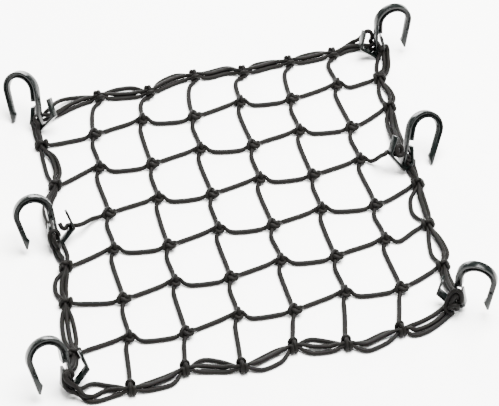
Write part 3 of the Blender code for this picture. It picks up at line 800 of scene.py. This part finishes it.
border = {
    "radius": 2.38,
    "tiedRadius": 1.75,           # in ties and clips
    "tiedPlaces": ((1.7, 5.2), (0.0, 8.1), (-1.7, 5.2)),  # outward and up, outer cord first
    "tiedHalf": 4.2,              # half the length that a tie holds
    "slotU": 3.0,
    "slotLevels": (10.8, 14.8, 6.9),
    "slotHalf": 5.0,
    "spacing": 2.0,
    # clockwise from the back left hook: end of the stretch, then how far the outer, middle and
    # inner cords stand out of the straight line, a quarter and three quarters of the way
    "rows": (
        ("back", 1, None), ("back", 2, ((8, 10), (0, 0), (-1.5, -1.5))),
        ("back", 3, ((9, 11), (6, 7), (2, 3))), ("back", 4, ((4, 10), (1, 7), (-2, 5))),
        ("back", 5, ((8, 6), (3, 5), (0.5, 2))), ("back", 6, ((5.5, 6.5), (1.5, 3), (-1.5, -1))),
        ("hook_right_back", 0, None), ("right", 1, None),
        ("right", 2, ((5, 7), (3.5, 5.5), (-3, -4))), ("hook_right_middle", 0, None),
        ("right", 4, None), ("right", 5, ((0.5, 2), (-1.5, 0), (-10, -11.5))),
        ("right", 6, ((5, 8), (4, 7), (-2.3, -5.8))), ("hook_right_front", 0, None),
        ("front", 6, None), ("front", 5, ((6, 10.5), (-1, 4.8), (-3, 2.8))),
        ("front", 4, ((4, 6), (1, 0), (-4.5, -9))),
        ("front", 3, ((8, 8.5), (-1.5, 0.5), (-3.5, -1.5))),
        ("front", 2, ((0.5, 0.5), (-1, -4), (-7, -12))),
        ("front", 1, ((8.5, 4.5), (2, 1.5), (0, -1))),
        ("hook_left_front", 0, None), ("left", 6, None),
        ("left", 5, ((5.5, 4.5), (1.4, 0.8), (-3.3, -2.8))),
        ("left", 4, ((8, 9), (3.2, 3.5), (1.5, 1.5))), ("hook_left_middle", 0, None),
        ("left", 2, None), ("left", 1, ((2.3, 0.8), (-5.5, -6.5), (-8.5, -9.5))),
        ("hook_left_back", 0, None),
    ),
    "shares": (0.24, 0.5, 0.76),  # where along a stretch a cord is led
    "nearShare": 0.92,            # of the distance above, at the first and the last of these
    "middleShare": 0.53,          # of both distances, at the one between
    "middleLift": 2.0,            # the middle cord lies on the others
    "settleRounds": 40,
    "held": 0.5,                  # a point whose fourth value reaches this is held
    "push": 0.8,
    "ease": 0.12,
    "sink": 0.05,                 # how far the cords press into the floor
    "fadeRounds": 2,              # how softly the cords widen past a tie
    # slack cord thrown round a clip, before its first point in the slot or after its last one
    "loops": {
        ("hook_left_front", 0): (
            ((2, 3, 10.5), (7.5, 4.5, 9.6), (9.6, 11, 8.4), (8.2, 19, 7.8),
             (4.6, 25, 7.4), (1.2, 20.5, 7.2)), ()),
        ("hook_left_front", 1): (
            ((-2, 6, 12), (4.6, 13.5, 12), (8.6, 20, 11.6), (7, 26.5, 9.6), (3, 23, 8.6)), ()),
        ("hook_left_middle", 0): (
            ((6.6, 3, 9.4), (8.8, 8, 8.8), (8.6, 15, 8.2), (6.6, 21, 7.8),
             (3.2, 22, 7.4), (1.8, 16, 7.2)), ()),
        ("hook_left_middle", 1): (
            ((2.5, 4, 12.5), (5.5, 9, 12.4), (6, 15, 12), (5, 20, 10)), ()),
        ("hook_right_front", 0): (
            (), ((6.2, 17, 7.2), (5.8, 25, 7.2), (2.4, 32, 7.6), (-2.2, 26, 8.4),
                 (-6, 15.5, 9.6), (-9, 7.5, 11), (-4, 3, 14.5))),
        ("hook_right_front", 1): (
            (), ((3.6, 21, 7), (2, 28.5, 7.6), (-2, 22, 9.6), (-3, 13, 11),
                 (1.6, 6.6, 12), (6, 8.5, 11.4), (4.2, 15.5, 12), (-1.6, 13.6, 13.8),
                 (-5.4, 7.6, 14))),
    },
    # beside the hooks the cords are followed in the picture: pixel x, pixel y and height of
    # points of the outer, middle and inner cord, on the way to the named end
    "guides": {
        ("back", 1): (
            ((48, 111, 15), (53, 105, 14), (59, 101, 10), (68, 98.7, 5), (82, 97.3, 2.6)),
            ((48, 115, 12), (56, 113, 8), (64, 109.5, 5), (74, 104.5, 4), (87, 100, 4)),
            ((48, 118, 8), (57, 115.5, 4), (66, 111, 2.1), (76, 106, 2.1), (88, 101.5, 2.1))),
        ("hook_right_back", 0): (
            ((338, 51.5, 3), (345, 48.5, 2.4), (353, 43.5, 7), (361, 37.5, 17), (366, 30.5, 29),
             (371, 31, 30), (372.5, 38, 20), (368, 43.5, 12), (373, 43, 12)),
            ((340, 51, 5), (347, 47.8, 4), (356, 46.5, 5), (364, 45, 9), (371, 46, 11)),
            ((341, 53, 2.2), (348, 49.6, 2.2), (357, 48, 3), (365, 47.5, 6), (372, 50, 7))),
        ("right", 1): (
            ((384, 47, 12), (387.5, 56, 6), (388, 66, 2.2), (385, 74, 4)),
            ((382, 50, 10), (384.5, 59, 4), (385, 67, 2.6), (382.5, 74, 6)),
            ((379, 56, 5), (376.8, 64, 2.2), (376.5, 71, 2.2))),
        ("hook_right_middle", 0): (
            ((394.5, 117, 3), (397, 128, 4), (401, 139, 10)),
            ((391, 117, 5), (393, 128, 6), (398, 140, 12)),
            ((386.5, 118, 2.2), (388.5, 129, 3), (394, 140, 9))),
        ("right", 4): (
            ((410.5, 160, 9), (414.5, 169, 3)),
            ((407.5, 160, 10), (412, 170, 5)),
            ((404.5, 162, 6), (409, 171, 2.3))),
        ("hook_right_front", 0): (
            ((447.5, 274, 4), (451, 281, 6), (454.5, 288, 9)),
            ((445, 275, 7), (448, 283, 9), (452, 290, 12)),
            ((441.5, 273, 4), (444, 281, 4), (449, 289, 7))),
        ("front", 6): (
            ((455, 311, 5), (448, 316, 3), (438, 325, 2.2), (425, 333, 2.2), (412, 336, 2.2)),
            ((453, 307, 8), (446, 312, 5), (436, 321, 3), (424, 327.5, 3), (411, 331, 5)),
            ((450, 303, 9), (443, 308, 4), (434, 315, 2.2), (423, 321, 2.2), (411, 325.5, 3))),
        ("hook_left_front", 0): (
            ((118, 394.5, 2.2), (106, 399, 2.2), (95, 401.8, 2.2), (86, 400, 3), (81, 394, 7)),
            ((118, 390, 5), (108, 389.5, 3), (100, 393, 2.5), (91, 398.5, 3), (83, 396, 9)),
            ((118, 387, 3), (105, 385.5, 2.2), (95, 383.5, 2.2), (87, 385, 4), (81, 390, 8))),
        ("left", 6): (
            ((70, 366, 9), (70, 360, 7)),
            ((73, 366, 10), (73, 360, 9)),
            ((76, 366, 6), (76, 360, 5))),
        ("hook_left_middle", 0): (
            ((58, 257, 3), (55, 249, 3), (52, 243, 5)),
            ((60, 258, 5), (57.5, 251, 5), (55, 246, 8)),
            ((68, 258, 2.3), (66, 251, 2.3), (61.5, 242, 5))),
        ("left", 2): (
            ((48.5, 221, 11), (44.5, 213, 8), (44.8, 205, 5), (48.5, 197, 3)),
            ((47.5, 214, 12), (48, 204, 8), (50.5, 196, 5)),
            ((49.5, 213, 8), (50.5, 203, 4), (53, 196, 2.4))),
        ("hook_left_back", 0): (
            ((37, 139, 2.6), (34.5, 132, 4), (34, 125, 7)),
            ((39, 138, 6), (37, 131, 8), (36.5, 125, 11)),
            ((40.5, 138, 2.4), (38.5, 131, 3.5), (38.5, 125, 6))),
    },
}


def atHook(name, u, v, w):
    return np.array(hookFrames[name] @ Vector((u, v, w)))


def stationCentre(name, place):
    if name in hook["places"]:
        return atHook(name, border["slotU"], border["slotLevels"][0], 0.0) * (1, 1, 0)
    return borderKnot(name, place)


def borderWay(name, place):
    stations = [row[:2] for row in border["rows"]]
    index = stations.index((name, place))
    after = stations[(index + 1) % len(stations)]
    return unit(stationCentre(*after) - stationCentre(*stations[index - 1]))


def stationPoints(name, place, strand):
    if name in hook["places"]:
        # clockwise, left hooks are passed from their near side, right ones from their far side
        half = hook["places"][name][1] * border["slotHalf"]
        return [atHook(name, border["slotU"], border["slotLevels"][strand], w)
                for w in (-half, half)]
    way = borderWay(name, place)
    shift, level = border["tiedPlaces"][strand]
    spot = borderKnot(name, place) + leftOf(way) * shift + np.array((0, 0, level))
    return [spot + way * a for a in (-border["tiedHalf"], 0.0, border["tiedHalf"])]


def borderPath(strand):
    # points with a fourth value: 1 where the cord is held by a clip or a tie
    points = []
    start = stationPoints(*border["rows"][-1][:2], strand)[-1]
    for name, place, spread in border["rows"]:
        here = stationPoints(name, place, strand)
        if spread is None:
            points += [(*seen(*guide), 0.0) for guide in border["guides"][(name, place)][strand]]
        else:
            out = leftOf(unit((here[0] - start) * (1, 1, 0)))
            first, last = spread[strand]
            level = border["radius"] + (border["middleLift"] if strand == 1 else 0.0)
            widths = (first * border["nearShare"], (first + last) * border["middleShare"],
                      last * border["nearShare"])
            for share, wide in zip(border["shares"], widths):
                spot = (start + (here[0] - start) * share + out * wide) * (1, 1, 0)
                points.append((spot[0], spot[1], level, 0.0))
        before, after = border["loops"].get((name, strand), ((), ()))
        points += [(*atHook(name, *point), 0.0) for point in before]
        points += [(*point, 1.0) for point in here]
        points += [(*atHook(name, *point), 0.0) for point in after]
        start = here[-1]
    return np.array(points)


def settleBorder(paths):
    # the loose stretches push each other apart where they touch and come to rest on the floor
    touch = border["radius"] * 2
    for _ in range(border["settleRounds"]):
        tree = KDTree(sum(len(path) for path in paths))
        owners = []
        for strand, path in enumerate(paths):
            for point in path:
                tree.insert(point[:3], len(owners))
                owners.append(strand)
        tree.balance()
        moves = []
        for strand, path in enumerate(paths):
            move = np.zeros((len(path), 3))
            for i, point in enumerate(path):
                hits = [(co, far) for co, index, far in tree.find_range(point[:3], touch)
                        if owners[index] != strand]
                if hits and point[3] < border["held"]:
                    push = [(point[:3] - np.array(co)) / max(far, 1e-3) * (touch - far)
                            for co, far in hits]
                    move[i] = np.mean(push, axis=0) * border["push"]
            moves.append(move)
        for path, move in zip(paths, moves):
            loose = (path[:, 3] < border["held"])[:, None]
            path[:, :3] += move
            mean = (np.roll(path[:, :3], 1, axis=0) + np.roll(path[:, :3], -1, axis=0)) / 2
            path[:, :3] += (mean - path[:, :3]) * border["ease"] * loose
            path[:, 2] = np.maximum(path[:, 2], border["radius"] - border["sink"])


def makeBorder():
    names = ("border_outer", "border_middle", "border_inner")
    paths = [smoothPath(borderPath(strand), border["spacing"], closed=True)[:-1]
             for strand in range(len(names))]
    settleBorder(paths)
    made = []
    for name, path in zip(names, paths):
        held = path[:, 3]
        for _ in range(border["fadeRounds"]):
            held = (np.roll(held, 1) + held * 2 + np.roll(held, -1)) / 4
        radii = border["radius"] + (border["tiedRadius"] - border["radius"]) * np.clip(held, 0, 1)
        tubes = TubeSet(net["sides"])
        tubes.add(path[:, :3], radii, closed=True)
        print(name, "length in metres:", round(tubes.total * mm, 3))
        piece = tubes.build(name + "_cord", cordMaterial)
        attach(piece, "root")
        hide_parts(name)
        made.append(piece)
    return made


borderPieces = makeBorder()
print("border cords made")


# Ties: each mesh cord ends in two turns round the border and passes over itself between them

tie = {
    "radius": 1.7,
    "form": (                     # along the border, outward, up: round the bundle of three cords
        (-0.3, -5.9, 5.2), (0, -3, 9.9), (0, 0.4, 11.4), (0.2, 4.4, 9.8), (0.6, 6.6, 5.8),
        (0.9, 4.2, 1.9), (1.6, 0, 1.7), (2.6, -3.9, 2.1), (3.1, -5.4, 5.6), (2.4, -4.4, 9.4),
        (0, -3.8, 11.9), (-2.5, -4.2, 9.8), (-3.2, -5.4, 5.8), (-2.9, -3.4, 2),
        (-2.5, 0.4, 1.7), (-2.6, 4.2, 1.9), (-3.2, 6.5, 5.2), (-3.2, 4.6, 9.2),
        (-3, 1.8, 11.2)),
    "bundleHalf": 9.0,
    "entry": {                    # along the border from the middle of each tie
        "back": (-5, -8.5, -4.5, -8, -5, -6), "right": (0.5,) * 6, "front": (0.5,) * 6,
        "left": (0.5, 2.5, -0.5, 2.0, 0.0, 3.5),
    },
    # degrees from the way to the next knot to the way in which the cord leaves
    "bend": {"back": -24.0, "right": 0.0, "front": 0.0, "left": 0.0},
    "level": 3.0,                 # how high it leaves
    "exit": 6.0,
    "reach": 4.5,
    "spacing": 1.0,
    "pull": 0.18,
    "rounds": 120,
}


def turned(way, degrees):
    c, s = math.cos(math.radians(degrees)), math.sin(math.radians(degrees))
    return np.array((way[0] * c - way[1] * s, way[0] * s + way[1] * c, 0.0))


def tiePath(side, place, mirrored, toward):
    way = borderWay(side, place)
    out = leftOf(way)
    hand = -1 if mirrored and side != "back" else 1
    centre = borderKnot(side, place)
    leave = np.array((tie["entry"][side][place - 1], -tie["exit"], tie["level"]))
    aim = turned(unit(toward - centre - way * leave[0] - out * leave[1]), tie["bend"][side])
    far = leave + np.array((np.dot(aim, way), np.dot(aim, out), 0.0)) * tie["reach"]
    form = np.array(tie["form"]) * (hand, 1, 1)
    half = tie["bundleHalf"]
    bundle = [((-half, *spot), (half, *spot)) for spot in border["tiedPlaces"]]
    path = pullTight([np.vstack((far, leave, form))], bundle, tie["radius"], border["tiedRadius"],
                     tie["spacing"], tie["rounds"], tie["pull"], lowest=net["squeezedRadius"])[0]
    return centre + path[:, :1] * way + path[:, 1:2] * out + path[:, 2:] * (0, 0, 1), aim


# The middle row's cord runs behind the net arm of its hook and lies loose in the clip
arm = {
    "left": ((-24, 14.2, -2.6), (-21.2, 13.8, -5.2), (-18, 14, -7), (-14.6, 15.6, -6.8),
             (-12.4, 17.4, -2.4), (-9.6, 17.2, 1.2), (-7, 18.8, 2.2), (-5.8, 21.4, 1.4),
             (-5.4, 23.6, -0.8)),
    "right": ((-22.5, 15.2, 0.5), (-20.6, 15.6, -4.4), (-18.2, 16.2, -6.9), (-14.6, 17, -6.6),
              (-11.8, 15.6, -3.2), (-8.6, 15, 0.4), (-6, 18.4, 2), (-7.2, 24.6, 2.6),
              (-11.4, 25.2, 2.4), (-12.6, 19.6, 3.2), (-9.8, 15.6, 4.4), (-6, 16.4, 5),
              (-4.6, 20, 4.6)),
    "bend": {"left": 0.0, "right": -24.0},  # degrees, as for the ties
    "squeezed": 0.3,              # as a share of how far a knot squeezes the cord
}


def armPath(side):
    points = [atHook("hook_%s_middle" % side, *point) for point in arm[side]]
    return smoothPath(points, net["spacing"])


# Mesh: twelve staircases of cord, each through a bight, then a turn, then the next bight

def marked(path, held):
    # a fourth value: 1 where a knot grips the cord
    return np.column_stack((path, np.full(len(path), held)))


def borderEnd(row, column, nextRow, nextColumn):
    # the tied end of a cord from its bar inward, and the way in which the bar leaves
    side, place = (("back", column) if row == 0 else ("front", column) if row == net["cells"]
                   else ("left", row) if column == 0 else ("right", row))
    toward = meshKnot(nextRow, nextColumn)
    if row == net["middleRow"] and side in ("left", "right"):
        path = armPath(side)
        way = unit((toward - path[0]) * (1, 1, 0))
        return marked(path, arm["squeezed"]), turned(way, arm["bend"][side])
    path, way = tiePath(side, place, faceUp(row, column), toward)
    return marked(path, 1.0), way


def bar(start, startWay, end, endWay):
    # from one leg's end to the next, sinking to the floor on the way
    path = bezier(start, startWay, end, endWay, net["spacing"], net["stiffness"])
    share = np.linspace(0.0, 1.0, len(path))
    low = net["cordRadius"]
    fall = net["fall"] if max(start[2], end[2]) < net["high"] else net["highFall"]
    path[:, 2] = low + (start[2] - low) * (1 - share) ** fall + (end[2] - low) * share ** fall
    return path[1:-1]


def settleJoints(path, joints):
    # rounds the path off where a bar meets its knot
    reach = net["jointReach"]
    eased = np.zeros((len(path), 1))
    for joint in joints:
        i = int(round(joint / net["spacing"]))
        eased[max(1, i - reach):i + reach + 1] = net["jointEase"]
    eased[0] = eased[-1] = 0.0
    for _ in range(net["jointRounds"]):
        path[1:-1] += ((path[:-2] + path[2:]) / 2 - path[1:-1]) * eased[1:-1]
    return path


def makeMesh():
    tubes = TubeSet(net["sides"])
    cells = net["cells"]
    starts = [(0, column) for column in range(1, cells)] + [(row, cells) for row in range(1, cells)]
    for row, column in starts:
        goDown = row == 0
        ahead = (row + 1, column) if goDown else (row, column - 1)
        begun, way = borderEnd(row, column, *ahead)
        pieces = [begun[::-1]]
        while True:
            last = (row, column)
            row, column = (row + 1, column) if goDown else (row, column - 1)
            ended = row == cells or column == 0
            if ended:
                through, inWay = borderEnd(row, column, *last)
            else:
                bight, turn, ways = knots[(row, column)]
                through = marked(bight if goDown else turn, 1.0)
                inWay = ways["up"] if goDown else ways["right"]
            pieces += [marked(bar(pieces[-1][-1][:3], way, through[0][:3], inWay), 0.0), through]
            if ended:
                break
            way = ways["left"] if goDown else ways["down"]
            goDown = not goDown
        runs = [lengths(np.vstack((a, b[:1])))[-1] for a, b in zip(pieces, pieces[1:])]
        path = settleJoints(evenPoints(np.vstack(pieces), net["spacing"]), np.cumsum(runs))
        radii = net["cordRadius"] + (net["squeezedRadius"] - net["cordRadius"]) * path[:, 3]
        tubes.add(path[:, :3], radii)
    piece = tubes.build("knottedMesh", cordMaterial)
    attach(piece, "root")
    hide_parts("net_mesh")
    return piece, tubes.total


meshPiece, meshLength = makeMesh()
print("mesh made, cord length in metres:", round(meshLength * mm, 2))
